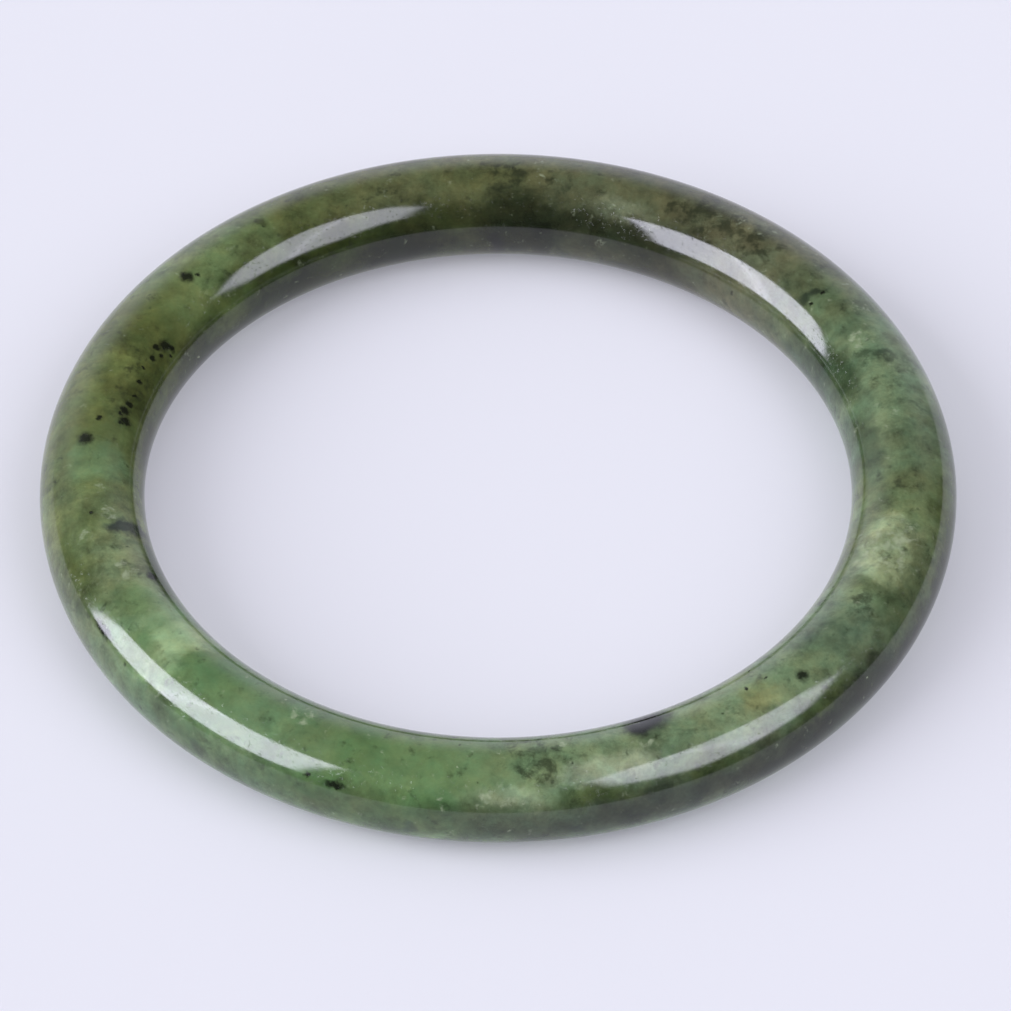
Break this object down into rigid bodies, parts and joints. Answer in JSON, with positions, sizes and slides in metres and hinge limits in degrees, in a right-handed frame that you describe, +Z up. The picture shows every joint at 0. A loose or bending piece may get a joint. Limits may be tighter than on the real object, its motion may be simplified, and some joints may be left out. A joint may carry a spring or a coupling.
{
  "type": "bangle bracelet",
  "caption": "Solid bangle bracelet: a closed ring of smooth round bar, carved whole and polished from mottled green nephrite jade.",
  "frame": {"origin": "middle of the ring, on the surface that the bangle lies on", "axes": "+Z up along the ring's axis; the ring is the same in every direction round it, so +X and +Y are free"},
  "size_m": [0.0752, 0.0752, 0.0082],
  "materials": {
    "polished_nephrite": "nephrite jade ground round and polished to a waxy gloss, with clouds, dark grains and pale flecks in the stone"
  },
  "bodies": {
    "root": {"stone_ring": "polished_nephrite"}
  },
  "joints": []
}
